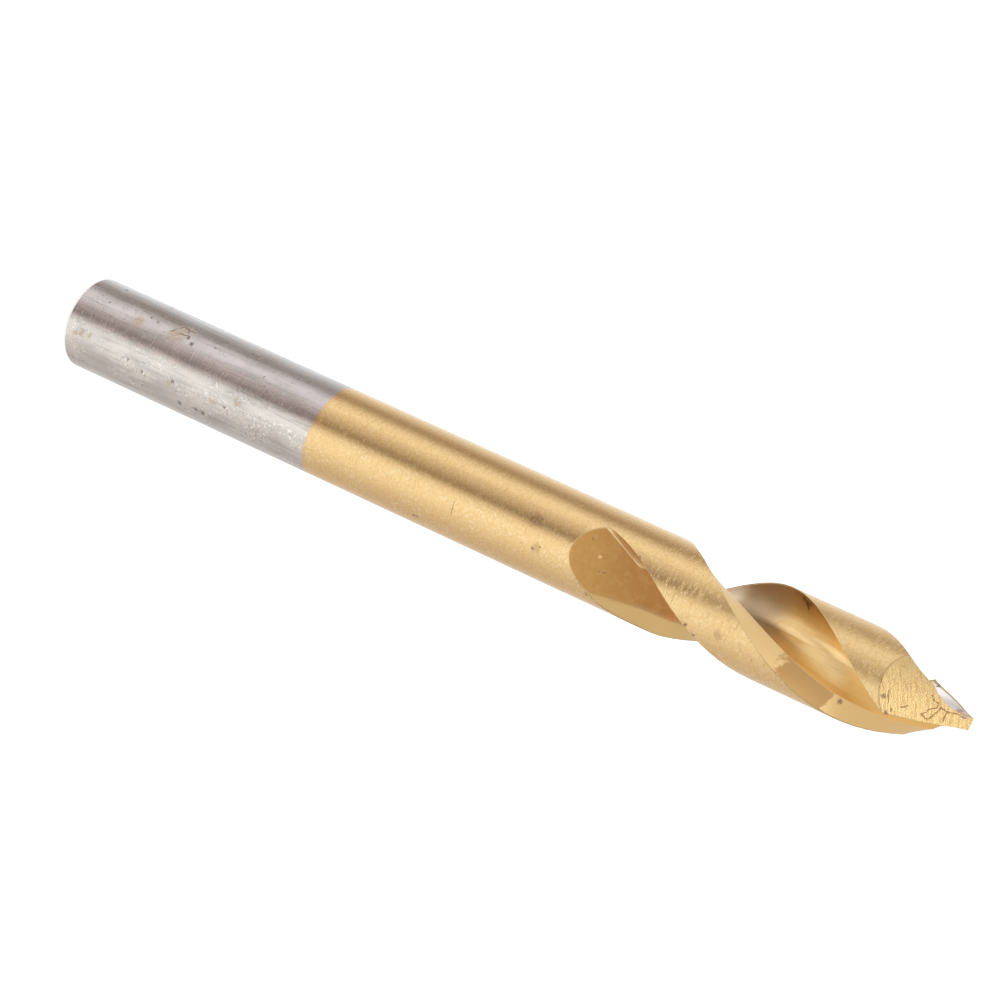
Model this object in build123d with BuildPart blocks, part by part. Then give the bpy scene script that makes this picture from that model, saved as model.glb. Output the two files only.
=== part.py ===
"""Spotting drill for a 6 mm collet: one ground bar with two helical flutes and a two-flank point.

Millimetres and degrees. The drill stands on its shank end, with its axis on +Z and the point up.
The outer corners of the two cutting lips lie on the X axis.
"""
import os
from math import atan2, cos, degrees, hypot, radians, sin, sqrt

from build123d import *

# Ground bar
body_diameter = 6.0
shank_end_chamfer = 0.22
shank_length = 39.0           # plain cylinder, from the shank end to the foot of the cutting part
back_taper = 0.01             # how much slimmer the cutting part is at its foot, on the radius
taper_foot_length = 0.1

# Point
lip_corner_height = 62.0      # height of the outer corners of the lips
tip_height = 66.2
point_allowance = 0.02        # bar left above the point height for the flanks to take off
flank_angle = 31.8            # between the grinding lines of a flank and the drill axis
flank_lag = 26.6              # how far behind its lip corner these lines run down
flank_curvature_radius = 8.0  # the flanks are slightly rounded across
flank_crown_side = 1.1        # sideways distance of the highest grinding line from the axis
flank_crown_rise = 0.08
flank_half_width = 6.0
flank_cut_height = 6.0

# Flutes, right-hand. Seen from the point, the section of a flute has a floor, a rake wall from
# the floor's foot out to the cutting edge, and a relief band from the floor's other end to the
# heel. The floor faces floor_angle ahead of the edge. Lengths along it count from the foot of
# the perpendicular that falls on it from the drill axis.
helix_lead = 28.4
floor_angle = 9.5
floor_distance = 0.385        # from the drill axis
floor_hollow = 0.14
floor_root_share = 0.19       # part of the floor that is the root of the rake wall
rake_foot_offset = -0.49
rake_foot_rise = 0.3
rake_radius = 1.9
relief_corner_offset = 1.73
relief_angle = 28.5           # between the floor and the relief band
relief_bulge = 0.05
root_bow = 0.045              # how far the three arcs of the floor bow towards the axis
middle_bow = 0.012
back_bow = 0.07
least_bow = 0.002
cutter_margin = 2.2           # how far the flute cutters reach outside the bar

# Run-out: towards the shank the floor of each flute rises in an arc until it leaves the bar. Its
# lowest section, the foot, lies just above the shank and wholly outside the bar.
foot_gap = 0.2                # between the shank and the foot
foot_clearance = 0.23         # between the bar and the floor at the foot
floor_rise_radius = 17.6
stop_length = 6.0             # from the foot to where the section starts to turn with the helix
foot_spread = 0.57            # sideways move of the rake foot for each millimetre down
foot_spread_length = 4.36     # part of the run-out with that move, from the foot
relief_spread = 0.24          # sideways move of the relief corner for each millimetre of rise
edge_lags = (34.6, 34.2, 32.4, 27.6, 20.1, 11.1)  # evenly spaced, from the foot to the stop
turning_steps = 4
edge_clearance = 0.03         # how far the edges of the outermost sections stay out of the bar
heel_clearance = 0.05

body_radius = body_diameter / 2
turn_per_mm = 360 / helix_lead
blank_height = tip_height + point_allowance
cutter_radius = body_radius + cutter_margin
foot_height = shank_length + foot_gap
foot_rise = body_radius + foot_clearance - floor_distance
runout_length = sqrt(foot_rise * (2 * floor_rise_radius - foot_rise))
turning_stop_height = foot_height + stop_length
full_depth_height = foot_height + runout_length
flank_cut_length = tip_height - lip_corner_height + body_diameter


def on_floor(out, along):
    """A point of the flute section, from its distances out from the axis and along the floor."""
    facing = radians(floor_angle)
    return (out * cos(facing) - along * sin(facing), out * sin(facing) + along * cos(facing))


def around(radius, angle):
    """A point of the flute section at a radius and an angle ahead of the cutting edge."""
    return (radius * cos(radians(angle)), radius * sin(radians(angle)))


def flute_section(height, edge_lag=0):
    """The flute at one height, with its cutting edge edge_lag behind the helix."""
    turned_height = max(height, turning_stop_height)
    turn = turn_per_mm * (turned_height - lip_corner_height)
    section_plane = Plane.XY.offset(height).rotated((0, 0, turn))

    below_full_depth = max(full_depth_height - height, 0)
    rise = floor_rise_radius - sqrt(floor_rise_radius**2 - below_full_depth**2)
    depth_share = 1 - below_full_depth / runout_length
    floor_out = floor_distance + rise
    below_spread = max(foot_height + foot_spread_length - height, 0)
    foot_along = rake_foot_offset - foot_spread * below_spread
    relief_along = relief_corner_offset + relief_spread * rise
    floor_length = relief_along - foot_along

    foot = on_floor(floor_out + rake_foot_rise * depth_share, foot_along)
    root_end = on_floor(floor_out, foot_along + floor_root_share * floor_length)
    deepest = on_floor(floor_out - floor_hollow * depth_share, foot_along + floor_length / 2)
    relief_corner = on_floor(floor_out, relief_along)

    edge_radius = max(body_radius, hypot(*foot) + edge_clearance)
    edge = around(edge_radius, -edge_lag)
    edge_outside = around(cutter_radius, -edge_lag)

    heel_radius = max(body_radius, hypot(*relief_corner) + heel_clearance)
    band_direction = Vector(*around(1, 90 + floor_angle + relief_angle))
    along_band = band_direction.dot(Vector(*relief_corner))
    band_width = sqrt(along_band**2 - hypot(*relief_corner) ** 2 + heel_radius**2) - along_band
    heel = Vector(*relief_corner) + band_direction * band_width
    heel_angle = degrees(atan2(heel.Y, heel.X))
    heel_outside = around(cutter_radius, heel_angle)
    outside_mid = around(cutter_radius, (heel_angle - edge_lag) / 2)

    with BuildSketch(section_plane) as section:
        with BuildLine():
            RadiusArc(edge, foot, rake_radius)
            SagittaArc(foot, root_end, least_bow + root_bow * depth_share)
            SagittaArc(root_end, deepest, least_bow + middle_bow * depth_share)
            SagittaArc(deepest, relief_corner, least_bow + back_bow * depth_share)
            SagittaArc(relief_corner, heel, -relief_bulge)
            Line(heel, heel_outside)
            ThreePointArc(heel_outside, outside_mid, edge_outside)
            Line(edge_outside, edge)
        make_face()
    return section.sketch


# What the wheel takes out where one flute runs out of the bar
stop_step = stop_length / len(edge_lags)
turning_step = (runout_length - stop_length) / turning_steps
runout_sections = [
    flute_section(foot_height + index * stop_step, edge_lag)
    for index, edge_lag in enumerate(edge_lags)
]
for index in range(turning_steps + 1):
    runout_sections.append(flute_section(turning_stop_height + index * turning_step))
with BuildPart() as runout_cutter:
    loft(runout_sections)

# What it takes out along the rest of the flute
full_depth_section = flute_section(full_depth_height)
with BuildPart() as flute_cutter:
    add(full_depth_section)
    with BuildLine() as flute_guide:
        Helix(
            pitch=helix_lead,
            height=blank_height - full_depth_height,
            radius=body_radius,
            center=(0, 0, full_depth_height),
        )
    sweep(path=flute_guide.line, is_frenet=True)

# What the grinding takes off the point for one flank
with BuildPart() as flank_cutter:
    grinding_line = Vector(
        sin(radians(flank_angle)) * cos(radians(flank_lag)),
        -sin(radians(flank_angle)) * sin(radians(flank_lag)),
        -cos(radians(flank_angle)),
    )
    flank_plane = Plane(
        origin=(0, 0, tip_height),
        x_dir=(sin(radians(flank_lag)), cos(radians(flank_lag)), 0),
        z_dir=grinding_line,
    )
    edge_drop = flank_curvature_radius - sqrt(flank_curvature_radius**2 - flank_half_width**2)
    flank_left = flank_crown_side - flank_half_width
    flank_right = flank_crown_side + flank_half_width
    flank_low = flank_crown_rise - edge_drop
    with BuildSketch(flank_plane) as flank_profile:
        with BuildLine():
            ThreePointArc(
                (flank_left, flank_low),
                (flank_crown_side, flank_crown_rise),
                (flank_right, flank_low),
            )
            Polyline(
                (flank_right, flank_low),
                (flank_right, flank_cut_height),
                (flank_left, flank_cut_height),
                (flank_left, flank_low),
            )
        make_face()
    extrude(amount=flank_cut_length, both=True)

# The drill
with BuildPart() as spotting_drill:
    with BuildSketch(Plane.XZ) as bar_half:
        with BuildLine():
            Polyline(
                (0, 0),
                (body_radius - shank_end_chamfer, 0),
                (body_radius, shank_end_chamfer),
                (body_radius, shank_length),
                (body_radius - back_taper, shank_length + taper_foot_length),
                (body_radius, blank_height),
                (0, blank_height),
                close=True,
            )
        make_face()
    revolve(axis=Axis.Z)
    with PolarLocations(0, 2):
        add(flank_cutter.part, mode=Mode.SUBTRACT)
    with PolarLocations(0, 2):
        add(flute_cutter.part, mode=Mode.SUBTRACT)
    with PolarLocations(0, 2):
        add(runout_cutter.part, mode=Mode.SUBTRACT)
spotting_drill.part.label = "spotting_drill"
os.makedirs("parts", exist_ok=True)
export_step(spotting_drill.part, "parts/spotting_drill.step")
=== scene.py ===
# %% [markdown]
# # A spotting drill, ground and coated
# A spotting drill is one bar of high-speed steel. Its shank is ground to a true cylinder, two
# helical flutes are ground into one end, and two flanks are ground on the point. Most of the bar
# then gets a gold titanium nitride coat, and the first 20 mm of the shank stay bare.
# The shape is already there as a solid, so this lesson is about finishes: how ground steel, a gold
# coat, wheel marks, stains and small pits are made from nodes, with no picture file.

# %% Load the drill
from math import cos, pi, radians, sin

import bpy
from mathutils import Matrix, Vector

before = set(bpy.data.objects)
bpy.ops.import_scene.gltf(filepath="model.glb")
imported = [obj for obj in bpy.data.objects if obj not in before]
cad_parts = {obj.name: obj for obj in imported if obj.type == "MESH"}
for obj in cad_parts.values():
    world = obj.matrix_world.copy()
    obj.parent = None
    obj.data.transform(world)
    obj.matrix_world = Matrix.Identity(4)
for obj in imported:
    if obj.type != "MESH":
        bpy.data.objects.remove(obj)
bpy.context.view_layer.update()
MM = 0.001
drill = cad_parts["spotting_drill"]

# %% [markdown]
# ## Sizes that the finishes follow
# The marks on a drill follow its geometry: a wheel leaves marks along the flute it cut, and
# grinding leaves rings round the bar. So the drill's own sizes are named here, in millimetres and
# degrees, and every finish below is placed from them.

# %% The drill's own sizes
bar_radius = 3.0
shank_length = 39.0           # below it there is only the plain cylinder
lip_corner_height = 62.0
tip_height = 66.2
helix_lead = 28.4
turning_stop_height = 45.2    # below it the section of a flute keeps its angle
full_depth_height = 48.79     # below it the floor of a flute rises
floor_angle = radians(9.5)
floor_rise_radius = 17.6
rake_foot_offset = -0.49
foot_spread = 0.57
spread_end_height = 43.56
relief_corner_offset = 1.73
relief_spread = 0.24
flank_angle = radians(31.8)
flank_lag = radians(26.6)
flank_crown_side = 1.1
flank_crown_rise = 0.08
flank_curvature_radius = 8.0
print("the cutting part takes up", round(tip_height - shank_length, 1), "mm of the drill")

# %% [markdown]
# ## Camera
# The drill was photographed from its shank end, with the point running away to the lower right.
# Here the drill stands upright, so the camera is rolled instead. Its place is given in
# millimetres from the shank end. Two directions turn it: the one it looks back along, and the one
# that is up in the picture. A long lens from far away keeps the sides of the bar nearly parallel.

# %% Place the camera
camera_place = Vector((198.24, -117.23, 154.31))
camera_back = Vector((0.76167, -0.44830, 0.46785))
picture_up = Vector((-0.29341, -0.88239, -0.36784))
camera_lens = 153.93

camera_data = bpy.data.cameras.new("camera")
camera_data.lens = camera_lens
camera_data.sensor_width = 36
camera_data.clip_start = 0.001
camera = bpy.data.objects.new("camera", camera_data)
picture_right = picture_up.cross(camera_back)
camera.matrix_world.col[0].xyz = picture_right
camera.matrix_world.col[1].xyz = picture_up
camera.matrix_world.col[2].xyz = camera_back
camera.matrix_world.col[3].xyz = camera_place * MM
bpy.context.scene.collection.objects.link(camera)
bpy.context.scene.camera = camera
print("camera is", round(camera_place.length), "mm from the shank end")

# %% [markdown]
# ## Helpers for nodes
# A material is a tree of nodes, and most of it is arithmetic on the place of a point. A few small
# helpers keep the cells below short. These add a node and fill or link its inputs, and do
# arithmetic on numbers, places and directions.

# %% Helpers that add nodes
def fill(tree, socket, value):
    """Gives an input its value, or its link. A colour is three numbers: red, green and blue."""
    if isinstance(value, bpy.types.NodeSocket):
        tree.links.new(value, socket)
    elif socket.type == "RGBA":
        socket.default_value = (*value, 1)
    else:
        socket.default_value = value


def put(tree, kind, settings=None, **inputs):
    """Adds a node. Each input takes a plain value, or another node's output to link to."""
    made = tree.nodes.new(kind)
    for name, value in (settings or {}).items():
        setattr(made, name, value)
    for name, value in inputs.items():
        fill(tree, made.inputs[name.replace("_", " ")], value)
    return made


def maths(tree, operation, *values):
    """One step of arithmetic on values that vary over the surface."""
    made = put(tree, "ShaderNodeMath", {"operation": operation})
    for socket, value in zip(made.inputs, values):
        fill(tree, socket, value)
    return made.outputs[0]


def vector_maths(tree, operation, *values):
    """One step of arithmetic on places or directions. A distance or a product is one number."""
    made = put(tree, "ShaderNodeVectorMath", {"operation": operation})
    for socket, value in zip(made.inputs, values):
        fill(tree, socket, value)
    return made.outputs["Value" if operation in ("DISTANCE", "DOT_PRODUCT") else "Vector"]


print("nodes can be added")

# %% [markdown]
# A mask is a number between 0 and 1 that says where something is. The helpers below make masks,
# join them, and lay one colour over another where a mask says.

# %% Helpers for masks and colours
mix_sockets = {"RGBA": (6, 7, 2), "VECTOR": (4, 5, 1)}  # two inputs and the output of a Mix node


def step(tree, value, start, end, low=0.0, high=1.0):
    """Goes smoothly from low to high while the value goes from start to end."""
    made = put(tree, "ShaderNodeMapRange", {"interpolation_type": "SMOOTHSTEP"}, Value=value,
               From_Min=start, From_Max=end, To_Min=low, To_Max=high)
    return made.outputs["Result"]


def gathered(tree, operation, values):
    """Joins many values by one kind of arithmetic, such as their product or the largest."""
    joined = values[0]
    for value in values[1:]:
        joined = maths(tree, operation, joined, value)
    return joined


def outside(tree, mask):
    """A mask of all that another mask leaves out."""
    return maths(tree, "SUBTRACT", 1.0, mask)


def mixed(tree, factor, first, second, kind="RGBA"):
    """A colour between two others, or a place or direction where the kind is VECTOR."""
    made = put(tree, "ShaderNodeMix", {"data_type": kind})
    first_socket, second_socket, result = mix_sockets[kind]
    fill(tree, made.inputs[0], factor)
    fill(tree, made.inputs[first_socket], first)
    fill(tree, made.inputs[second_socket], second)
    return made.outputs[result]


def laid(tree, mask, share, under, over):
    """A colour with another laid over it where the mask says, by the given share."""
    return mixed(tree, maths(tree, "MULTIPLY", mask, share), under, over)


print("masks and colours can be mixed")

# %% [markdown]
# Noise is what makes a surface look real. It is measured in millimetres here, so that a grain
# keeps its size, and it also pushes places about, which turns a smooth border into a ragged one.

# %% Helpers for noise
def noise(tree, place, stretch, detail=2.0, roughness=0.5):
    """Cloudy noise between 0 and 1. The stretch is how many clouds a millimetre holds each way."""
    made = put(tree, "ShaderNodeTexNoise", Vector=vector_maths(tree, "MULTIPLY", place, stretch),
               Scale=1.0, Detail=detail, Roughness=roughness)
    return made.outputs["Fac"]


def moved(tree, place, noise_place, scale, amount):
    """The place, pushed about by noise by at most half the amount."""
    push = put(tree, "ShaderNodeTexNoise", Vector=noise_place, Scale=scale, Detail=3.0,
               Roughness=0.6).outputs["Color"]
    push = vector_maths(tree, "SUBTRACT", push, (0.5, 0.5, 0.5))
    return vector_maths(tree, "ADD", place, vector_maths(tree, "MULTIPLY", push, amount))


print("noise can be laid on")

# %% [markdown]
# A pattern that has a name of its own becomes a node group: a box with named inputs and outputs
# that can be placed as often as it is needed. Here every group puts out masks, values or places
# only. The shader that turns them into metal stays in the material.

# %% Helpers for node groups
def new_group(name, inputs, outputs):
    """A shader node group with named sockets, and its two end nodes."""
    tree = bpy.data.node_groups.new(name, "ShaderNodeTree")
    for label, kind in inputs.items():
        tree.interface.new_socket(label, in_out="INPUT", socket_type="NodeSocket" + kind)
    for label, kind in outputs.items():
        tree.interface.new_socket(label, in_out="OUTPUT", socket_type="NodeSocket" + kind)
    return tree, tree.nodes.new("NodeGroupInput").outputs, tree.nodes.new("NodeGroupOutput").inputs


def put_out(tree, group_outputs, **values):
    """Links the values that a group puts out, and says how large the group became."""
    for label, value in values.items():
        tree.links.new(value, group_outputs[label.replace("_", " ")])
    print("group", tree.name, "has", len(tree.nodes), "nodes")


def use(tree, group, **inputs):
    """Places a node group, and gives its outputs."""
    return put(tree, "ShaderNodeGroup", {"node_tree": group}, **inputs).outputs


print("groups can be built")

# %% [markdown]
# ## Where a point lies on the drill
# All patterns start from the place of a point in millimetres, measured from the shank end. Its
# height and its distance from the axis come with it, because most borders on a drill are either
# rings or cylinders.

# %% Group for the place of a point
drill_place, given, out = new_group(
    "drill place", {"Object": "Vector"}, {"Place": "Vector", "Height": "Float", "Radius": "Float"})
in_mm = vector_maths(drill_place, "MULTIPLY", given["Object"], (1000, 1000, 1000))
parts = put(drill_place, "ShaderNodeSeparateXYZ", Vector=in_mm).outputs
flat = vector_maths(drill_place, "MULTIPLY", in_mm, (1, 1, 0))
radius = vector_maths(drill_place, "DISTANCE", flat, (0, 0, 0))
put_out(drill_place, out, Place=in_mm, Height=parts["Z"], Radius=radius)

# %% [markdown]
# ## Where a point lies in a flute
# A flute has a floor, a rake wall that stands on one side of it up to the cutting edge, and a
# relief band on the other side. The whole section turns with the helix. So the place is turned
# back by the same angle, and then the flute is straight: one direction leads out of its floor and
# the other leads along it. Below the height where the wheel stopped turning, the section keeps its
# angle. The second flute is the first one turned by half a turn, and a change of sign covers it.

# %% Group for the place in a flute
flute_place, given, out = new_group(
    "flute place", {"Place": "Vector", "Height": "Float"},
    {"Along": "Float", "Past corner": "Float", "Rake": "Float", "Band": "Float",
     "Straight": "Vector"})
turn_per_mm = 2 * pi / helix_lead
dividing_slope = 0.35     # of the line between the two flutes


def turned(tree, place, angle):
    """The place, turned round the drill's axis."""
    return put(tree, "ShaderNodeVectorRotate", {"rotation_type": "Z_AXIS"}, Vector=place,
               Angle=angle).outputs["Vector"]


turning_height = maths(flute_place, "MAXIMUM", given["Height"], turning_stop_height)
above_lip = maths(flute_place, "SUBTRACT", turning_height, lip_corner_height)
facing = maths(flute_place, "MULTIPLY_ADD", above_lip, turn_per_mm, floor_angle)
turned_back = turned(flute_place, given["Place"], maths(flute_place, "MULTIPLY", facing, -1.0))
straight = turned(flute_place, given["Place"],
                  maths(flute_place, "MULTIPLY", given["Height"], -turn_per_mm))
parts = put(flute_place, "ShaderNodeSeparateXYZ", Vector=turned_back).outputs
side = maths(flute_place, "MULTIPLY_ADD", parts["Y"], dividing_slope, parts["X"])
along = maths(flute_place, "MULTIPLY", parts["Y"], maths(flute_place, "SIGN", side))
print("a flute turns", round(turn_per_mm, 3), "radians with each millimetre")

# %% [markdown]
# Towards the shank the floor rises on the arc of the wheel, and the corner between floor and
# relief band moves outwards with it. So the corner is followed down the run-out as well.

# %% Follow the relief corner
missing_depth = maths(flute_place, "SUBTRACT", full_depth_height, given["Height"])
missing_depth = maths(flute_place, "MAXIMUM", missing_depth, 0.0)
squared = maths(flute_place, "MULTIPLY", missing_depth, missing_depth)
arc = maths(flute_place, "SQRT",
            maths(flute_place, "SUBTRACT", floor_rise_radius ** 2, squared))
floor_rise = maths(flute_place, "SUBTRACT", floor_rise_radius, arc)
corner = maths(flute_place, "MULTIPLY_ADD", floor_rise, relief_spread, relief_corner_offset)
past_corner = maths(flute_place, "SUBTRACT", along, corner)
print("the floor starts to rise below", full_depth_height, "mm")

# %% [markdown]
# The rake wall and the relief band are masks with a soft border. The border is widest at the
# foot of the rake wall, because the wheel left a round root there.

# %% Masks of the rake wall and the relief band
rake_border = (-0.05, -0.42)
band_border = (-0.03, 0.06)
rake = step(flute_place, along, *rake_border)
band = step(flute_place, past_corner, *band_border)
put_out(flute_place, out, Along=along, Past_corner=past_corner, Rake=rake, Band=band,
        Straight=straight)

# %% [markdown]
# ## Where a point lies on a flank
# Each flank of the point is part of a large cylinder that touches the tip. Measured in the
# flank's own directions, along its grinding line, across it and out of it, a point lies on the
# flank when its distance out fits the height of that cylinder. The place is also given along and
# across the strokes of the wheel that last went over the flank.

# %% Directions of a flank
down_flank = Vector((sin(flank_angle) * cos(flank_lag), -sin(flank_angle) * sin(flank_lag),
                     -cos(flank_angle)))
across_flank = Vector((sin(flank_lag), cos(flank_lag), 0))
out_of_flank = down_flank.cross(across_flank)
strokes_down, strokes_aside = 0.387, 0.922    # how a stroke of the wheel slants
along_strokes = (strokes_down * down_flank - strokes_aside * across_flank).normalized()
across_strokes = (strokes_aside * down_flank + strokes_down * across_flank).normalized()
print("out of the flank:", [round(part, 3) for part in out_of_flank])

# %% [markdown]
# The height of the cylinder falls with the square of the distance to the side. The second flank
# is the first one turned by half a turn, so the place is turned instead and measured again.

# %% Group for the flanks
off_flank_by = (0.07, 0.04)   # distances from the flank's surface where its mask starts and is full


def from_tip(tree, place, direction):
    """How far a place lies from the tip in one direction."""
    reach = vector_maths(tree, "DOT_PRODUCT", place, direction)
    return maths(tree, "SUBTRACT", reach, tip_height * direction.z)


def on_flank(tree, place):
    """One where the place lies on a flank, zero elsewhere."""
    side = maths(tree, "SUBTRACT", from_tip(tree, place, across_flank), flank_crown_side)
    squared = maths(tree, "MULTIPLY", side, side)
    drop = maths(tree, "DIVIDE", squared, 2 * flank_curvature_radius)
    off = maths(tree, "ADD", from_tip(tree, place, out_of_flank), drop)
    distance = maths(tree, "ABSOLUTE", maths(tree, "SUBTRACT", off, flank_crown_rise))
    return step(tree, distance, *off_flank_by)


flank_place, given, out = new_group(
    "flank place", {"Place": "Vector"}, {"Flank": "Float", "Strokes": "Vector"})
half_turned = vector_maths(flank_place, "MULTIPLY", given["Place"], (-1, -1, 1))
first_flank = on_flank(flank_place, given["Place"])
second_flank = on_flank(flank_place, half_turned)
nearer = mixed(flank_place, second_flank, given["Place"], half_turned, "VECTOR")
strokes = put(flank_place, "ShaderNodeCombineXYZ", X=from_tip(flank_place, nearer, across_strokes),
              Y=from_tip(flank_place, nearer, along_strokes)).outputs["Vector"]
put_out(flank_place, out, Flank=maths(flank_place, "MAXIMUM", first_flank, second_flank),
        Strokes=strokes)

# %% [markdown]
# ## Worn edges
# Where two ground faces meet, the edge is never quite sharp. It is rounded by some hundredths of
# a millimetre, and the coat is thin and pale there. A bevel node gives the direction that a
# rounded edge would face, and where it differs from the true one there is an edge.

# %% Group for worn edges
worn_edges, given, out = new_group(
    "worn edges", {"Width": "Float"}, {"Edge": "Float", "Rounded": "Vector"})
rounded = put(worn_edges, "ShaderNodeBevel", {"samples": 3}, Radius=given["Width"])
facing = put(worn_edges, "ShaderNodeNewGeometry").outputs["Normal"]
agreement = vector_maths(worn_edges, "DOT_PRODUCT", rounded.outputs["Normal"], facing)
put_out(worn_edges, out, Edge=step(worn_edges, agreement, 0.985, 0.90),
        Rounded=rounded.outputs["Normal"])

# %% [markdown]
# ## Grain of the ground bar
# A bar is ground while it turns, so its marks run round it. At this size they show as a fine
# grain, as short ticks round the bar, and as soft clouds where the wheel or a hand has polished
# more. Each is noise that is squeezed or drawn out along the axis.

# %% Group for the grain of the bar
bar_grain, given, out = new_group(
    "bar grain", {"Place": "Vector"},
    {"Rings": "Float", "Grain": "Float", "Ticks": "Float", "Clouds": "Float"})
rings = noise(bar_grain, given["Place"], (0.3, 0.3, 12), 3.0, 0.6)
fine_grain = noise(bar_grain, given["Place"], (5, 5, 6), 3.0, 0.65)
tick_noise = noise(bar_grain, given["Place"], (1.5, 1.5, 6.5), 2.0, 0.5)
cloud_noise = noise(bar_grain, given["Place"], (0.75, 0.75, 0.3), 4.0, 0.6)
put_out(bar_grain, out, Rings=rings, Grain=fine_grain,
        Ticks=step(bar_grain, tick_noise, 0.56, 0.70),
        Clouds=step(bar_grain, cloud_noise, 0.40, 0.66))

# %% [markdown]
# ## Single marks
# Some stains, pits and scratches are large enough to point at, so each is put at its own place. A
# spot is a ball round a centre, and a scratch is a thin rod between two ends. The place that they
# get is first moved about a little by noise, which makes their borders ragged, as real stains are.

# %% Groups for single marks
spot, given, out = new_group(
    "spot", {"Place": "Vector", "Centre": "Vector", "Size": "Float"}, {"Mask": "Float"})
off_centre = vector_maths(spot, "DISTANCE", given["Place"], given["Centre"])
share = maths(spot, "DIVIDE", off_centre, given["Size"])
put_out(spot, out, Mask=step(spot, share, 1.3, 0.35))

scratch, given, out = new_group(
    "scratch", {"Place": "Vector", "Start": "Vector", "End": "Vector", "Width": "Float"},
    {"Mask": "Float"})
way = vector_maths(scratch, "SUBTRACT", given["End"], given["Start"])
from_start = vector_maths(scratch, "SUBTRACT", given["Place"], given["Start"])
share = maths(scratch, "DIVIDE", vector_maths(scratch, "DOT_PRODUCT", from_start, way),
              vector_maths(scratch, "DOT_PRODUCT", way, way))
share = maths(scratch, "MINIMUM", maths(scratch, "MAXIMUM", share, 0.0), 1.0)
nearest = put(scratch, "ShaderNodeVectorMath", {"operation": "SCALE"}, Scale=share)
scratch.links.new(way, nearest.inputs[0])
off = vector_maths(scratch, "DISTANCE", from_start, nearest.outputs["Vector"])
put_out(scratch, out, Mask=step(scratch, maths(scratch, "DIVIDE", off, given["Width"]), 1.2, 0.5))

# %% [markdown]
# Marks come in dozens. So two helpers place a whole row of them and join their masks into one.

# %% Many marks at once
def all_spots(tree, place, *marks):
    """A mask of many spots. Each is x, y, z and a size."""
    return gathered(tree, "MAXIMUM", [
        use(tree, spot, Place=place, Centre=mark[:3], Size=mark[3])["Mask"] for mark in marks])


def all_scratches(tree, place, width, *paths):
    """A mask of thin lines. Each path is a row of places that the line goes through."""
    return gathered(tree, "MAXIMUM", [
        use(tree, scratch, Place=place, Start=start, End=end, Width=width)["Mask"]
        for path in paths for start, end in zip(path, path[1:])])


print("single marks can be placed")

# %% [markdown]
# ## The metal, step by step
# One material covers the whole drill, because it is one piece of steel and its coat is only a few
# thousandths of a millimetre thick. The colour is built up from the bare steel to the last
# stain. The first step places the groups, so that each later cell can use their masks. Three
# moved places serve for marks with ragged, frayed and nearly clean borders.

# %% Start the material
edge_width = 0.03
material = bpy.data.materials.new("gold coat on ground steel")
material.use_nodes = True
tree = material.node_tree
tree.nodes.clear()
coordinates = put(tree, "ShaderNodeTexCoord").outputs["Object"]
point = use(tree, drill_place, Object=coordinates)
place, height = point["Place"], point["Height"]
in_flute = use(tree, flute_place, Place=place, Height=height)
at_point = use(tree, flank_place, Place=place)
grain = use(tree, bar_grain, Place=place)
edges = use(tree, worn_edges, Width=edge_width * MM)

ragged = moved(tree, place, place, 3.0, (0.7, 0.7, 0.7))
frayed = moved(tree, place, place, 7.0, (0.44, 0.44, 0.44))
thread_thin = moved(tree, place, place, 2.5, (0.3, 0.3, 0.3))
print("the material starts with", len(tree.nodes), "nodes")

# %% [markdown]
# The drill has three kinds of face: the land, which is what the flutes and the point leave of the
# ground bar, the flutes, and the flanks. The land lies at the full radius, and below the flutes
# everything is land, so the flat shank end and its chamfer belong to it too.

# %% Land, flutes and flanks
land_radius = (2.90, 2.975)
off_flank = outside(tree, at_point["Flank"])
on_bar = maths(tree, "MAXIMUM", step(tree, point["Radius"], *land_radius),
               step(tree, height, shank_length - 0.1, shank_length - 0.5))
land = maths(tree, "MULTIPLY", on_bar, off_flank)
flute = maths(tree, "SUBTRACT", off_flank, land)
straight_out = vector_maths(tree, "NORMALIZE", vector_maths(tree, "MULTIPLY", place, (1, 1, 0)))
print("the land begins", land_radius[0], "mm from the axis")

# %% [markdown]
# The bare shank is grey steel that has been handled. Its tone changes a little round the bar, from
# a cool grey through cream to a faint mauve, and back to a cool grey. These tones are painted
# reflection: they stand in for the surroundings that the bar mirrors on each side.

# %% Colour of the bare steel
cool_direction = (0.509, 0.861, 0)    # the side where the steel looks coolest
steel_cool, steel_cream = (0.66, 0.655, 0.635), (0.735, 0.675, 0.61)
steel_mauve, steel_upper = (0.68, 0.605, 0.60), (0.615, 0.63, 0.64)
# Painted reflection: these tones follow the side of the bar that a point faces.
cool_side = vector_maths(tree, "DOT_PRODUCT", straight_out, cool_direction)
steel = mixed(tree, step(tree, cool_side, 0.85, 0.55), steel_cool, steel_cream)
steel = mixed(tree, step(tree, cool_side, 0.10, -0.12), steel, steel_mauve)
steel = mixed(tree, step(tree, cool_side, -0.50, -0.80), steel, steel_upper)
print("the steel has 4 tones round the bar")
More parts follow.
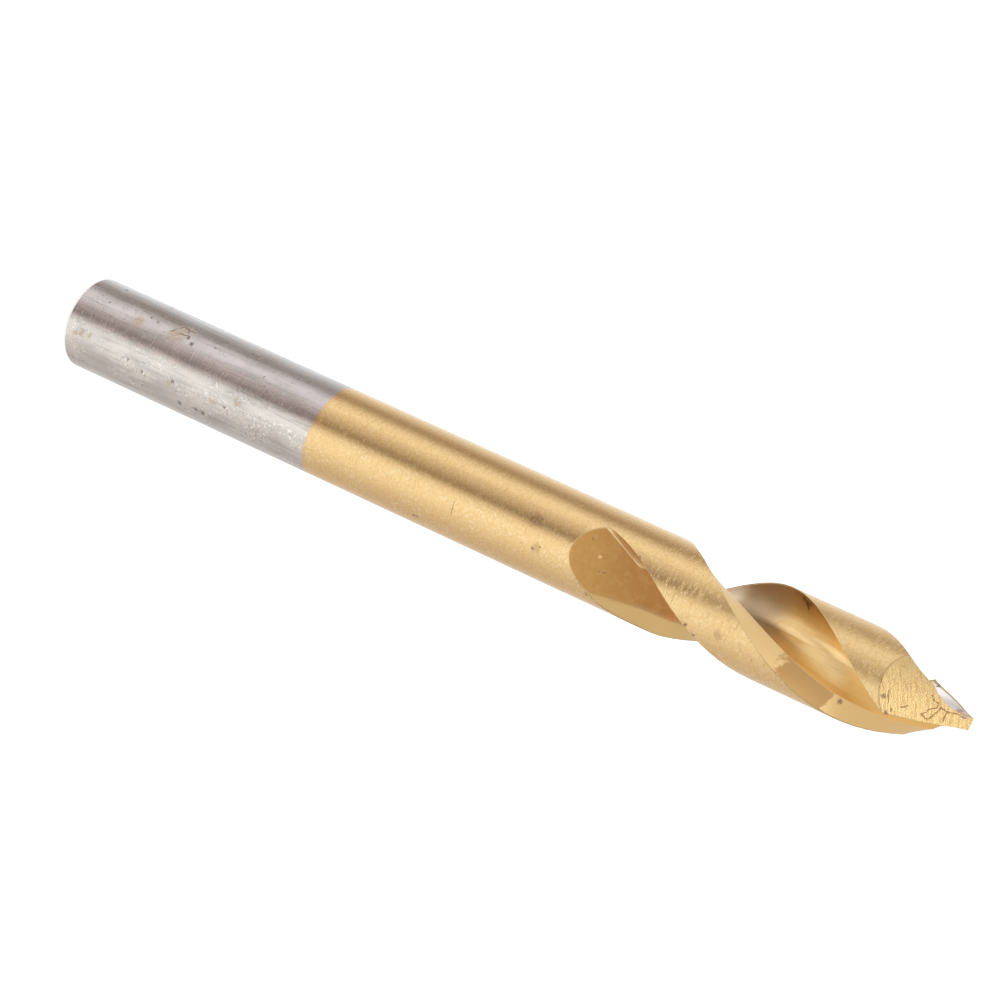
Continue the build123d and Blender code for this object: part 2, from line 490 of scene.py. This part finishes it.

# %% [markdown]
# Duller clouds and thin darker lines run along the steel. Its grain is pale and crisp where it is
# rubbed, and a few dark specks lie on it. The pale grain is strong on one side of the bar only, so
# it is partly real wear and partly a painted glint.

# %% Marks of handling on the steel
steel_dull, drawn_line = (0.55, 0.51, 0.485), (0.46, 0.42, 0.40)
steel_glint, steel_speck = (1.0, 0.97, 0.90), (0.34, 0.29, 0.25)
patchy = step(tree, noise(tree, place, (0.9, 0.9, 0.55), 3.0, 0.6), 0.40, 0.62)
drawn = step(tree, noise(tree, place, (4.5, 4.5, 0.25), 3.0, 0.6), 0.52, 0.66)
# Painted glint: the pale rubbed grain is kept mostly to one side of the bar.
glint_side = step(tree, cool_side, -0.05, 0.15, 0.12, 1.0)
pale_grain = step(tree, grain["Grain"], 0.53, 0.66)
rubbed_glint = gathered(tree, "MULTIPLY", (pale_grain, patchy, glint_side))
specks = step(tree, noise(tree, place, (5, 5, 4), 2.0, 0.6), 0.58, 0.68)
specks = maths(tree, "MULTIPLY", specks, patchy)
steel = laid(tree, grain["Clouds"], 0.8, steel, steel_dull)
steel = laid(tree, drawn, 0.55, steel, drawn_line)
steel = laid(tree, rubbed_glint, 0.85, steel, steel_glint)
steel = laid(tree, specks, 0.6, steel, steel_speck)
print("with the handled steel it has", len(tree.nodes), "nodes")

# %% [markdown]
# The tan stains are spots with a ragged border. They lie on the grain and leave out its hollows.

# %% Tan stains on the steel
tan_colour = (0.60, 0.46, 0.32)
tan_stains = all_spots(
    tree, ragged, (1.54, -2.57, 7.86, 0.7), (1.0, -2.83, 8.2, 0.6), (1.77, -2.42, 4.93, 0.55),
    (2.93, -0.61, 1.4, 0.35), (2.95, -0.5, 0.93, 0.25), (2.92, -0.65, 2.06, 0.25),
    (3.0, -0.05, 8.93, 0.3), (2.99, -0.08, 12.35, 0.35), (2.9, -0.7, 14.2, 0.3),
    (-1.2, 2.75, 12.0, 0.5), (-2.9, -0.8, 6.0, 0.4))
off_hollows = step(tree, grain["Grain"], 0.30, 0.60)
tan_stains = maths(tree, "MULTIPLY", tan_stains, off_hollows)
steel = laid(tree, tan_stains, 0.75, steel, tan_colour)
print("with the tan stains it has", len(tree.nodes), "nodes")

# %% [markdown]
# The gold land is cleaner than the steel. It has a fine grain of darker and paler dots, and short
# brown ticks round the bar, which grow stronger towards the flutes, where the wheel worked.

# %% Colour of the gold land
coat_gold, coat_dull = (0.90, 0.64, 0.31), (0.84, 0.57, 0.25)
coat_tick, coat_pale = (0.64, 0.41, 0.17), (0.97, 0.78, 0.50)
more_ticked = 0.20
near_flutes = step(tree, height, 44.0, 48.0)
ticked = step(tree, noise(tree, place, (0.5, 0.5, 0.22), 2.0, 0.5), 0.40, 0.62, 0.08, 0.40)
ticked = maths(tree, "MULTIPLY_ADD", near_flutes, more_ticked, ticked)
fine = noise(tree, place, (7, 7, 7), 2.0, 0.6)
dull_grain = step(tree, grain["Grain"], 0.60, 0.38)
darker_dots = step(tree, fine, 0.58, 0.70, 0.0, 0.36)
paler_dots = step(tree, fine, 0.42, 0.32, 0.0, 0.30)
gold = mixed(tree, dull_grain, coat_gold, coat_dull)
gold = mixed(tree, maths(tree, "MULTIPLY", grain["Ticks"], ticked), gold, coat_tick)
gold = mixed(tree, darker_dots, gold, coat_tick)
gold = mixed(tree, paler_dots, gold, coat_pale)
# Painted glint: the pale rubbed grain of one side of the bar is laid on the gold as well.
gold = laid(tree, rubbed_glint, 0.8, gold, coat_pale)
print("with the gold land it has", len(tree.nodes), "nodes")

# %% [markdown]
# The coat ends in a ring that is a little askew, as if the shank had been held at a slight angle
# in the coating rack. Its rim is thin, and so it has a rosy tint for a few tenths of a millimetre.

# %% The end of the coat
coat_edge_height = 19.6
coat_edge_tilt = 0.35
coat_edge_waver = 0.12
coat_edge_fade = 0.08         # the coat reaches its full strength over this height
rosy_reach = (0.32, 0.10)
higher_side = Vector((0.259, -0.966, 0))
rosy_rim = (0.78, 0.50, 0.36)
askew = vector_maths(tree, "DOT_PRODUCT", place, higher_side * coat_edge_tilt / bar_radius)
over_rim = maths(tree, "SUBTRACT", height, coat_edge_height)
over_rim = maths(tree, "SUBTRACT", over_rim, askew)
waver = noise(tree, place, (2.5, 2.5, 0.5))
over_rim = maths(tree, "MULTIPLY_ADD", waver, coat_edge_waver, over_rim)
coat = step(tree, over_rim, 0.0, coat_edge_fade)
rim = maths(tree, "MULTIPLY", step(tree, over_rim, *rosy_reach), coat)
gold = laid(tree, rim, 0.5, gold, rosy_rim)
bar_colour = mixed(tree, coat, steel, gold)
print("the coat starts", coat_edge_height, "mm above the shank end")

# %% [markdown]
# ## Colour of the flutes
# Inside the flutes the coat is smooth and shows streaks that run along them, as the wheel did. High
# on the rake wall towards the cutting edge it gets an olive painted shade, and in the root a brown
# painted shade, and the masks of the flute say where each lies. On its way up the painted root
# shade drifts over the floor, as the photograph shows.

# %% Floor, root and edge of the flutes
flute_gold, flute_streak = (1.0, 0.73, 0.35), (0.84, 0.57, 0.24)
olive_shade, root_shade_brown = (0.62, 0.42, 0.155), (0.42, 0.24, 0.10)
streaks = noise(tree, in_flute["Straight"], (4.5, 4.5, 0.22), 4.0, 0.65)
flute_colour = mixed(tree, step(tree, streaks, 0.46, 0.70, 0.0, 0.7), flute_gold, flute_streak)

above_runout = step(tree, height, 48.0, 49.6)
# Painted shade: an olive tone high on the rake wall, near the cutting edge.
high_on_wall = step(tree, point["Radius"], 1.0, 2.3)
shade_near_edge = gathered(tree, "MULTIPLY", (in_flute["Rake"], above_runout, high_on_wall))
flute_colour = laid(tree, shade_near_edge, 0.85, flute_colour, olive_shade)

# Painted shade: the brown of the root is shade laid into the colour, and it drifts over the floor.
shade_drift = 0.33     # how far the brown root moves over the floor for each millimetre up
off_band = outside(tree, in_flute["Band"])
root_shade_line = maths(tree, "MULTIPLY_ADD", height, -shade_drift, in_flute["Along"])
past_root_shade_line = step(tree, root_shade_line, -17.75, -17.2)
before_tail = step(tree, height, 56.0, 52.5)
in_root_shade = gathered(tree, "MULTIPLY", (off_band, past_root_shade_line, before_tail))
flute_colour = laid(tree, in_root_shade, 0.75, flute_colour, root_shade_brown)
print("with the floor and the root it has", len(tree.nodes), "nodes")

# %% [markdown]
# Towards the point the floor turns amber. The relief band is paler all along and deepens a little
# at the same height.

# %% Tail and relief band of the flutes
tail_gold, band_pale, band_deep = (0.80, 0.46, 0.13), (0.86, 0.60, 0.27), (0.72, 0.46, 0.18)
near_point = step(tree, height, 57.2, 58.7)
in_tail = maths(tree, "MULTIPLY", off_band, near_point)
flute_colour = laid(tree, in_tail, 0.9, flute_colour, tail_gold)
band_gold = mixed(tree, step(tree, height, 57.4, 58.8), band_pale, band_deep)
flute_colour = laid(tree, in_flute["Band"], 0.8, flute_colour, band_gold)
print("with the relief band it has", len(tree.nodes), "nodes")

# %% [markdown]
# In the run-out the wheel rose out of the steel. Here the foot of the rake wall spreads sideways
# as the hollow gets shallow, and the border to the relief band is soft. Both are measured first.

# %% Where the run-out lies
low_shift = 0.15      # low down the band's border lies this much further out
low_down = step(tree, height, 44.6, 42.6)
soft_corner = maths(tree, "MULTIPLY_ADD", low_down, -low_shift, in_flute["Past corner"])
soft_band = step(tree, soft_corner, -0.45, 0.25)
runout_band = maths(tree, "MULTIPLY", step(tree, height, 49.6, 47.4), soft_band)
in_runout = maths(tree, "MULTIPLY", step(tree, height, 48.6, 46.4), outside(tree, soft_band))
spread = maths(tree, "MAXIMUM", maths(tree, "SUBTRACT", spread_end_height, height), 0.0)
rake_foot = maths(tree, "MULTIPLY_ADD", spread, -foot_spread, rake_foot_offset)
past_foot = maths(tree, "SUBTRACT", in_flute["Along"], rake_foot)
print("the rake foot spreads below", spread_end_height, "mm")

# %% [markdown]
# The coat is at its brownest in the run-out. Its tone deepens up the hollow, and it is mottled.
# The strip of wall beyond the rake foot stays light, and a pale line marks the foot itself.

# %% Colour of the run-out
runout_brown, edge_brown = (0.51, 0.27, 0.075), (0.49, 0.215, 0.055)
mottle_brown, runout_band_gold = (0.60, 0.35, 0.12), (0.64, 0.42, 0.16)
thin_wall, foot_pale = (0.88, 0.62, 0.30), (0.95, 0.70, 0.38)
flute_colour = laid(tree, runout_band, 0.8, flute_colour, runout_band_gold)
deepening_slope = 0.4     # of the lines along which the brown deepens
lip_side = maths(tree, "MULTIPLY_ADD", in_flute["Along"], -deepening_slope, height)
runout = mixed(tree, step(tree, lip_side, 41.0, 44.4), runout_brown, edge_brown)
mottled = step(tree, noise(tree, ragged, (1.8, 1.8, 1.8), 4.0, 0.6), 0.48, 0.60)
runout = laid(tree, mottled, 0.35, runout, mottle_brown)
runout = laid(tree, step(tree, streaks, 0.54, 0.70), 0.5, runout, edge_brown)
runout = mixed(tree, step(tree, past_foot, 0.04, -0.08), runout, thin_wall)
off_foot = maths(tree, "ABSOLUTE", past_foot)
foot_line = maths(tree, "MULTIPLY", step(tree, off_foot, 0.085, 0.02),
                  step(tree, height, 43.9, 43.2))
runout = mixed(tree, foot_line, runout, foot_pale)
flute_colour = laid(tree, in_runout, 0.95, flute_colour, runout)
print("with the run-out it has", len(tree.nodes), "nodes")

# %% [markdown]
# Three patches break the even tone of the flutes: a brown one with a torn border across the relief
# band, a pale haze at the start of one flute, and a dark one on its rake wall, which is a painted
# dark reflection.

# %% Patches in the flutes
patch_brown, haze, dark_reflection_tone = (0.55, 0.32, 0.12), (0.85, 0.72, 0.54), (0.44, 0.31, 0.19)
tear = 2.4    # how far up and down the patch's border is torn
torn = maths(tree, "MULTIPLY_ADD", noise(tree, place, (1.3, 1.3, 1.3), 4.0, 0.6), tear, height)
patch_start, patch_end = step(tree, torn, 55.7, 56.2), step(tree, torn, 59.1, 58.8)
brown_patch = gathered(tree, "MULTIPLY", (in_flute["Band"], patch_start, patch_end))
hazy = all_spots(tree, ragged, (-2.6, -0.15, 48.4, 1.1))
# Painted reflection: the dark patch on the rake wall stands in for dim surroundings mirrored there.
dark_reflection_spot = all_spots(tree, ragged, (-2.1, -0.9, 50.9, 2.5))
flute_colour = laid(tree, brown_patch, 0.95, flute_colour, patch_brown)
flute_colour = laid(tree, hazy, 0.7, flute_colour, haze)
flute_colour = laid(tree, dark_reflection_spot, 0.85, flute_colour, dark_reflection_tone)
print("with the patches it has", len(tree.nodes), "nodes")

# %% [markdown]
# ## Flanks, lips and edges
# The flanks are the roughest faces, because they were ground last and with a coarse wheel. Its
# strokes lie close together and are a little wavy. Near the lips the coat is worn through on the
# rake walls, and bright metal shows. On the worn edges it is thin and pale.

# %% Colour of the flanks, lips and edges
flank_gold, stroke_brown = (0.62, 0.44, 0.20), (0.50, 0.33, 0.13)
bare_lip, edge_pale = (0.90, 0.88, 0.87), (0.95, 0.78, 0.50)
wavy = moved(tree, at_point["Strokes"], place, 4.0, (0.3, 0.3, 0))
strokes = noise(tree, wavy, (8.5, 1.1, 1), 3.0, 0.6)
flank_colour = mixed(tree, step(tree, strokes, 0.50, 0.36), flank_gold, stroke_brown)
near_lip = step(tree, height, lip_corner_height - 0.3, lip_corner_height + 0.3)
worn_lip = maths(tree, "MULTIPLY", in_flute["Rake"], near_lip)
flute_colour = mixed(tree, worn_lip, flute_colour, bare_lip)

colour = mixed(tree, flute, bar_colour, flute_colour)
colour = mixed(tree, at_point["Flank"], colour, flank_colour)
pale_edge = gathered(tree, "MULTIPLY", (
    edges["Edge"], coat, step(tree, grain["Grain"], 0.30, 0.55)))
colour = laid(tree, pale_edge, 0.35, colour, edge_pale)
print("with the flanks it has", len(tree.nodes), "nodes")

# %% [markdown]
# ## Pits, cracks and stains
# Last come the single marks. Their places were read from the photograph against the drill's own
# sizes. The sides that it doesn't show get a few of the same kind. Dark pits and specks come
# first, and each is a place and a size.

# %% Pits
pits = all_spots(
    tree, frayed,
    (1.38, -2.66, 8.75, 0.16), (1.66, -2.49, 9.22, 0.18), (1.23, -2.73, 6.11, 0.13),
    (1.18, -2.75, 5.56, 0.1), (1.43, -2.63, 2.28, 0.1), (2.78, 1.11, 9.71, 0.2),
    (2.82, 1.01, 11.03, 0.16), (2.81, 1.04, 11.62, 0.2), (3.0, -0.22, 9.1, 0.11),
    (2.98, -0.32, 5.4, 0.11), (3.0, 0.07, 6.64, 0.12), (2.99, -0.09, 13.34, 0.12),
    (1.65, -2.5, 15.06, 0.1), (1.23, -2.73, 10.8, 0.1), (-0.82, -2.88, 5.53, 0.1),
    (-0.39, -2.97, 2.12, 0.1), (2.65, 1.4, 28.23, 0.15), (2.66, 1.38, 28.5, 0.13),
    (2.31, -1.91, 36.25, 0.11), (2.5, -1.64, 36.77, 0.15), (2.28, -1.94, 37.08, 0.14),
    (2.99, -0.22, 37.17, 0.1), (2.96, -0.46, 37.63, 0.1), (2.69, 1.3, 41.19, 0.14),
    (1.86, -1.87, 40.53, 0.11), (2.07, -0.15, 41.44, 0.09), (1.95, -0.1, 41.73, 0.09),
    (2.38, -1.81, 45.04, 0.11), (2.05, -2.18, 44.04, 0.09), (2.98, 0.19, 48.33, 0.16),
    (2.93, 0.61, 48.95, 0.13), (1.38, 1.45, 58.43, 0.2), (2.72, -0.92, 61.71, 0.17),
    (2.89, -0.07, 62.13, 0.16), (2.66, -0.25, 62.33, 0.12), (-2.56, 0.07, 62.48, 0.14),
    (-2.4, 1.8, 24.0, 0.14), (-1.2, -2.75, 31.0, 0.13), (-2.9, 0.6, 15.0, 0.15),
    (0.3, 2.98, 22.5, 0.12), (-2.72, 0.92, 61.8, 0.16))
print("with the pits it has", len(tree.nodes), "nodes")

# %% [markdown]
# The coat has cracked in fine branches at the tip, and the steel has a small web of stain lines.
# Two thin scratches run round the bar. All of them are paths from place to place.

# %% Cracks and scratches
crack_width, ring_scratch_width = 0.055, 0.04
tip_crack = (
    (0.87, -1.23, 63.81), (0.91, -1.0, 64.01), (0.8, -0.84, 64.33), (0.96, -0.63, 64.33),
    (1.24, -0.55, 64.04), (1.66, -0.24, 63.75), (1.59, -0.01, 64.03), (1.25, -0.21, 64.33),
    (0.81, -0.65, 64.5), (0.66, -0.49, 64.86), (1.03, 0.03, 64.85))
tip_crack_end = ((0.66, -0.49, 64.86), (0.45, -0.48, 65.14), (0.1, -0.33, 65.8))
dark_stroke = ((2.41, -1.25, 61.82), (2.65, -0.64, 62.03))
short_scratch = ((2.26, -0.47, 62.71), (2.0, -0.54, 63.02))
stain_lines = (
    ((1.5, -2.6, 7.3), (0.75, -2.9, 7.9), (0.85, -2.87, 8.9)),
    ((1.4, -2.65, 7.9), (1.25, -2.73, 8.7)), ((0.6, -2.94, 8.0), (1.35, -2.68, 8.8)))
cracks = all_scratches(tree, thread_thin, crack_width, tip_crack, tip_crack_end, dark_stroke,
                       short_scratch, *stain_lines)
ring_scratches = all_scratches(
    tree, thread_thin, ring_scratch_width,
    ((2.87, -0.87, 31.14), (3.0, -0.05, 31.12)), ((2.75, -1.19, 36.37), (2.99, -0.16, 36.32)))
print("with the cracks it has", len(tree.nodes), "nodes")

# %% [markdown]
# Stains are larger and softer than pits: brown smudges on the land, one dark red stain by the
# cutting edge, a faint orange one, a mauve tarnish at the tip, and one pale dot in a run-out.

# %% Stains
smudges = all_spots(tree, ragged, (2.42, -1.76, 36.75, 0.5), (2.99, -0.3, 37.4, 0.35),
                    (2.99, -0.17, 50.53, 0.35), (2.75, 1.2, 42.0, 0.3))
red_stain = all_spots(tree, frayed, (-0.83, -2.35, 54.0, 0.3), (-0.68, -2.5, 54.35, 0.2),
                      (-1.0, -2.5, 53.7, 0.22), (-0.85, -2.1, 54.1, 0.15))
orange_stain = all_spots(tree, ragged, (0.8, 1.38, 46.18, 0.35))
tip_stain = all_spots(tree, ragged, (-0.61, -0.16, 65.06, 0.3), (-0.08, -0.34, 65.74, 0.3))
pale_spot = all_spots(tree, frayed, (1.86, -0.94, 41.22, 0.13))
print("with the stains it has", len(tree.nodes), "nodes")

# %% [markdown]
# The marks are laid on one after another, the softest first. None covers the metal fully, so some
# of its own colour always shows through.

# %% Lay the marks on the metal
smudge_brown, stain_red, stain_orange = (0.46, 0.28, 0.13), (0.20, 0.07, 0.06), (0.66, 0.24, 0.08)
tarnish_mauve, crack_brown = (0.36, 0.26, 0.29), (0.26, 0.13, 0.07)
pit_dark, spot_pale = (0.16, 0.09, 0.075), (0.86, 0.64, 0.36)
for mask, share, mark_colour in (
        (smudges, 0.5, smudge_brown), (red_stain, 0.8, stain_red),
        (orange_stain, 0.45, stain_orange), (tip_stain, 0.7, tarnish_mauve),
        (ring_scratches, 0.6, crack_brown), (cracks, 0.75, crack_brown),
        (pits, 0.7, pit_dark), (pale_spot, 0.8, spot_pale)):
    colour = laid(tree, mask, share, colour, mark_colour)
print("with all marks it has", len(tree.nodes), "nodes")

# %% [markdown]
# ## Roughness and relief
# The same masks also say how rough each place is. The ground bar is the smoothest, and it gets
# rougher towards the point. The flutes and the flanks are duller, and pits and cracks are matt.

# %% Roughness
shank_roughness, upper_roughness, flute_roughness = 0.23, 0.31, 0.40
flank_roughness, mark_roughness = 0.46, 0.62


def grey(value):
    """A plain value, written as a colour so that it can be mixed as one."""
    return (value,) * 3


roughness = mixed(tree, step(tree, height, 44.0, 52.0), grey(shank_roughness),
                  grey(upper_roughness))
roughness = mixed(tree, flute, roughness, grey(flute_roughness))
roughness = mixed(tree, at_point["Flank"], roughness, grey(flank_roughness))
marked = gathered(tree, "MAXIMUM", (pits, cracks, tan_stains, maths(tree, "MULTIPLY", dark_reflection_spot, 0.4)))
roughness = mixed(tree, marked, roughness, grey(mark_roughness))
print("roughness goes from", shank_roughness, "to", mark_roughness)

# %% [markdown]
# The relief is gathered as one height for the bump node. The rings and the grain belong to the
# land, the streaks to the flutes and the coarse strokes to the flanks. The middle of the strokes
# is level with the land, so that no false ridge runs along the border between them.

# %% Relief
ring_height, grain_height, rubbed_height = 0.35, 0.22, 0.12
tick_depth, tick_depth_near_flutes = 0.15, 0.7
streak_height, stroke_height, stroke_level, pit_depth = 0.6, 1.6, -0.5, 0.25
bar_relief = maths(tree, "MULTIPLY_ADD", grain["Rings"], ring_height,
                   maths(tree, "MULTIPLY", grain["Grain"], grain_height))
ticks = maths(tree, "MULTIPLY_ADD", near_flutes, tick_depth_near_flutes, tick_depth)
ticks = maths(tree, "MULTIPLY", grain["Ticks"], ticks)
bar_relief = maths(tree, "SUBTRACT", bar_relief, ticks)
bar_relief = maths(tree, "ADD", bar_relief, maths(tree, "MULTIPLY", rubbed_glint, rubbed_height))
flank_relief = maths(tree, "MULTIPLY_ADD", strokes, stroke_height, stroke_level)
relief = gathered(tree, "ADD", (
    maths(tree, "MULTIPLY", land, bar_relief),
    gathered(tree, "MULTIPLY", (flute, streaks, streak_height)),
    maths(tree, "MULTIPLY", at_point["Flank"], flank_relief)))
deep = maths(tree, "MULTIPLY", maths(tree, "MAXIMUM", pits, cracks), pit_depth)
relief = maths(tree, "SUBTRACT", relief, deep)
print("with the relief it has", len(tree.nodes), "nodes")

# %% [markdown]
# The drill's mesh is made of long flat strips, and a bright bar would show every one of them. The
# true direction out of a cylinder is known at each point, so the land takes that instead. The
# chamfer and all edges keep the rounded direction. Then one shader turns everything into metal.

# %% Finish the material
relief_strength, relief_depth = 0.5, 0.04
gloss_share, gloss_roughness = 0.3, 0.25
above_chamfer = step(tree, height, 0.24, 0.30)
truly_round = gathered(tree, "MULTIPLY", (land, above_chamfer, outside(tree, edges["Edge"])))
facing = mixed(tree, truly_round, edges["Rounded"], straight_out, "VECTOR")
bump = put(tree, "ShaderNodeBump", Strength=relief_strength, Distance=relief_depth * MM,
           Height=relief, Normal=facing)
surface = put(tree, "ShaderNodeBsdfPrincipled", Base_Color=colour, Metallic=1.0,
              Roughness=roughness, Coat_Weight=gloss_share, Coat_Roughness=gloss_roughness,
              Normal=bump.outputs["Normal"])
put(tree, "ShaderNodeOutputMaterial", Surface=surface.outputs["BSDF"])
drill.data.materials[0] = material
print("material", material.name, "has", len(tree.nodes), "nodes")

# %% [markdown]
# ## Floor
# The drill was photographed on white paper. A diffuse floor keeps its soft shadow, and a little
# glow of its own lifts it to white. Mirrored rays pass through it, because what the metal mirrors
# is made in the next step.

# %% Floor
floor_size = 4
paper_grey, paper_glow = 0.42, 0.72
bpy.ops.mesh.primitive_plane_add(size=floor_size, location=(0, 0, 0))
floor = bpy.context.object
floor.name = "floor"
floor.visible_glossy = False
white_paper = bpy.data.materials.new("white paper")
white_paper.use_nodes = True
tree = white_paper.node_tree
tree.nodes.clear()
glow = put(tree, "ShaderNodeEmission", Color=grey(1), Strength=paper_glow).outputs[0]
paper = put(tree, "ShaderNodeBsdfDiffuse", Color=grey(paper_grey)).outputs[0]
both = put(tree, "ShaderNodeAddShader")
tree.links.new(glow, both.inputs[0])
tree.links.new(paper, both.inputs[1])
put(tree, "ShaderNodeOutputMaterial", Surface=both.outputs[0])
floor.data.materials.append(white_paper)
print("floor is", floor.dimensions.x, "m wide")

# %% [markdown]
# ## Surroundings
# Bright metal has hardly any colour of its own to show: it shows what stands round it. A standing
# bar that is seen from above mirrors only what lies lower than itself, in a narrow belt below the
# horizon. The soft lamps in this belt are pale sectors and the gaps between them are dark ones,
# and they lie on the bar as straight bands. Each level of the belt has a bearing, in degrees from
# the camera's, and a brightness. The dim gaps are a little warmer than the lamps.

# %% The belt
belt_levels = (
    (0, 0.52), (6, 0.82), (12, 1.02), (24, 1.18), (36, 1.15), (52, 1.05), (72, 0.84), (96, 0.66),
    (120, 0.60), (144, 0.66), (162, 0.76), (180, 0.92), (198, 1.05), (212, 1.00), (228, 0.80),
    (240, 0.66), (252, 0.43), (264, 0.30), (274, 0.49), (286, 0.90), (304, 1.10), (322, 0.71),
    (336, 0.50), (348, 0.25), (354, 0.14), (360, 0.52))
camera_bearing = radians(-30.6)
red_power, blue_power = 0.83, 1.10

world = bpy.data.worlds.new("studio")
bpy.context.scene.world = world
world.use_nodes = True
tree = world.node_tree
tree.nodes.clear()
direction = put(tree, "ShaderNodeTexCoord").outputs["Generated"]
parts = put(tree, "ShaderNodeSeparateXYZ", Vector=direction).outputs
offset = maths(tree, "SUBTRACT", maths(tree, "ARCTAN2", parts["Y"], parts["X"]), camera_bearing)
turns = maths(tree, "FRACT", maths(tree, "DIVIDE", offset, 2 * pi))
belt = put(tree, "ShaderNodeValToRGB", Fac=turns)
ramp = belt.color_ramp
ramp.interpolation = "LINEAR"
while len(ramp.elements) < len(belt_levels):
    ramp.elements.new(0.5)
for element, (bearing, level) in zip(ramp.elements, belt_levels):
    element.position = bearing / 360
    element.color = (level ** red_power, level, level ** blue_power, 1)
print("the belt has", len(belt_levels), "levels")

# %% [markdown]
# Above the belt all is evenly pale. Below it comes the bright paper, which the flutes mirror, and
# straight below, near the drill's foot, it is dim. The camera itself sees plain white.

# %% The rest of the surroundings
pale_above, bright_below, dim_foot = grey(0.88), grey(1.40), (0.42, 0.40, 0.38)
upward = parts["Z"]           # 1 straight up, 0 at the horizon, -1 straight down
below_horizon = step(tree, upward, -0.20, -0.36)
off_paper = step(tree, upward, -0.78, -0.62)
on_paper = step(tree, upward, -0.55, -0.70)
at_foot = step(tree, upward, -0.80, -0.97)
in_belt = maths(tree, "MULTIPLY", below_horizon, off_paper)
mirrored = mixed(tree, on_paper, pale_above, bright_below)
mirrored = mixed(tree, in_belt, mirrored, belt.outputs["Color"])
mirrored = mixed(tree, at_foot, mirrored, dim_foot)
surroundings = put(tree, "ShaderNodeBackground", Color=mirrored, Strength=1.0)
white = put(tree, "ShaderNodeBackground", Color=grey(1), Strength=1.0)
rays = put(tree, "ShaderNodeLightPath")
chosen = put(tree, "ShaderNodeMixShader", Fac=rays.outputs["Is Camera Ray"])
tree.links.new(surroundings.outputs[0], chosen.inputs[1])
tree.links.new(white.outputs[0], chosen.inputs[2])
put(tree, "ShaderNodeOutputWorld", Surface=chosen.outputs[0])
print("the world has", len(tree.nodes), "nodes")

# %% [markdown]
# ## Lamp
# One large soft lamp hangs high over the drill, a little to the camera's side. It lights the
# flanks and the flutes, and it hardly touches the upright bar, which would otherwise show a hard
# line where its light ends.

# %% Lamp
lamp_place, lamp_aim = Vector((70, -40, 320)), Vector((0, 0, 40))
lamp_size = 200
lamp_watts = 0.5
lamp_data = bpy.data.lights.new("high_lamp", "AREA")
lamp_data.shape = "SQUARE"
lamp_data.size = lamp_size * MM
lamp_data.energy = lamp_watts
lamp = bpy.data.objects.new("high_lamp", lamp_data)
lamp.location = lamp_place * MM
lamp.rotation_euler = (lamp_aim - lamp_place).to_track_quat("-Z", "Y").to_euler()
lamp.visible_camera = False
bpy.context.scene.collection.objects.link(lamp)
bpy.context.scene.view_settings.view_transform = "Standard"
print("the lamp hangs", lamp_place.z, "mm high")
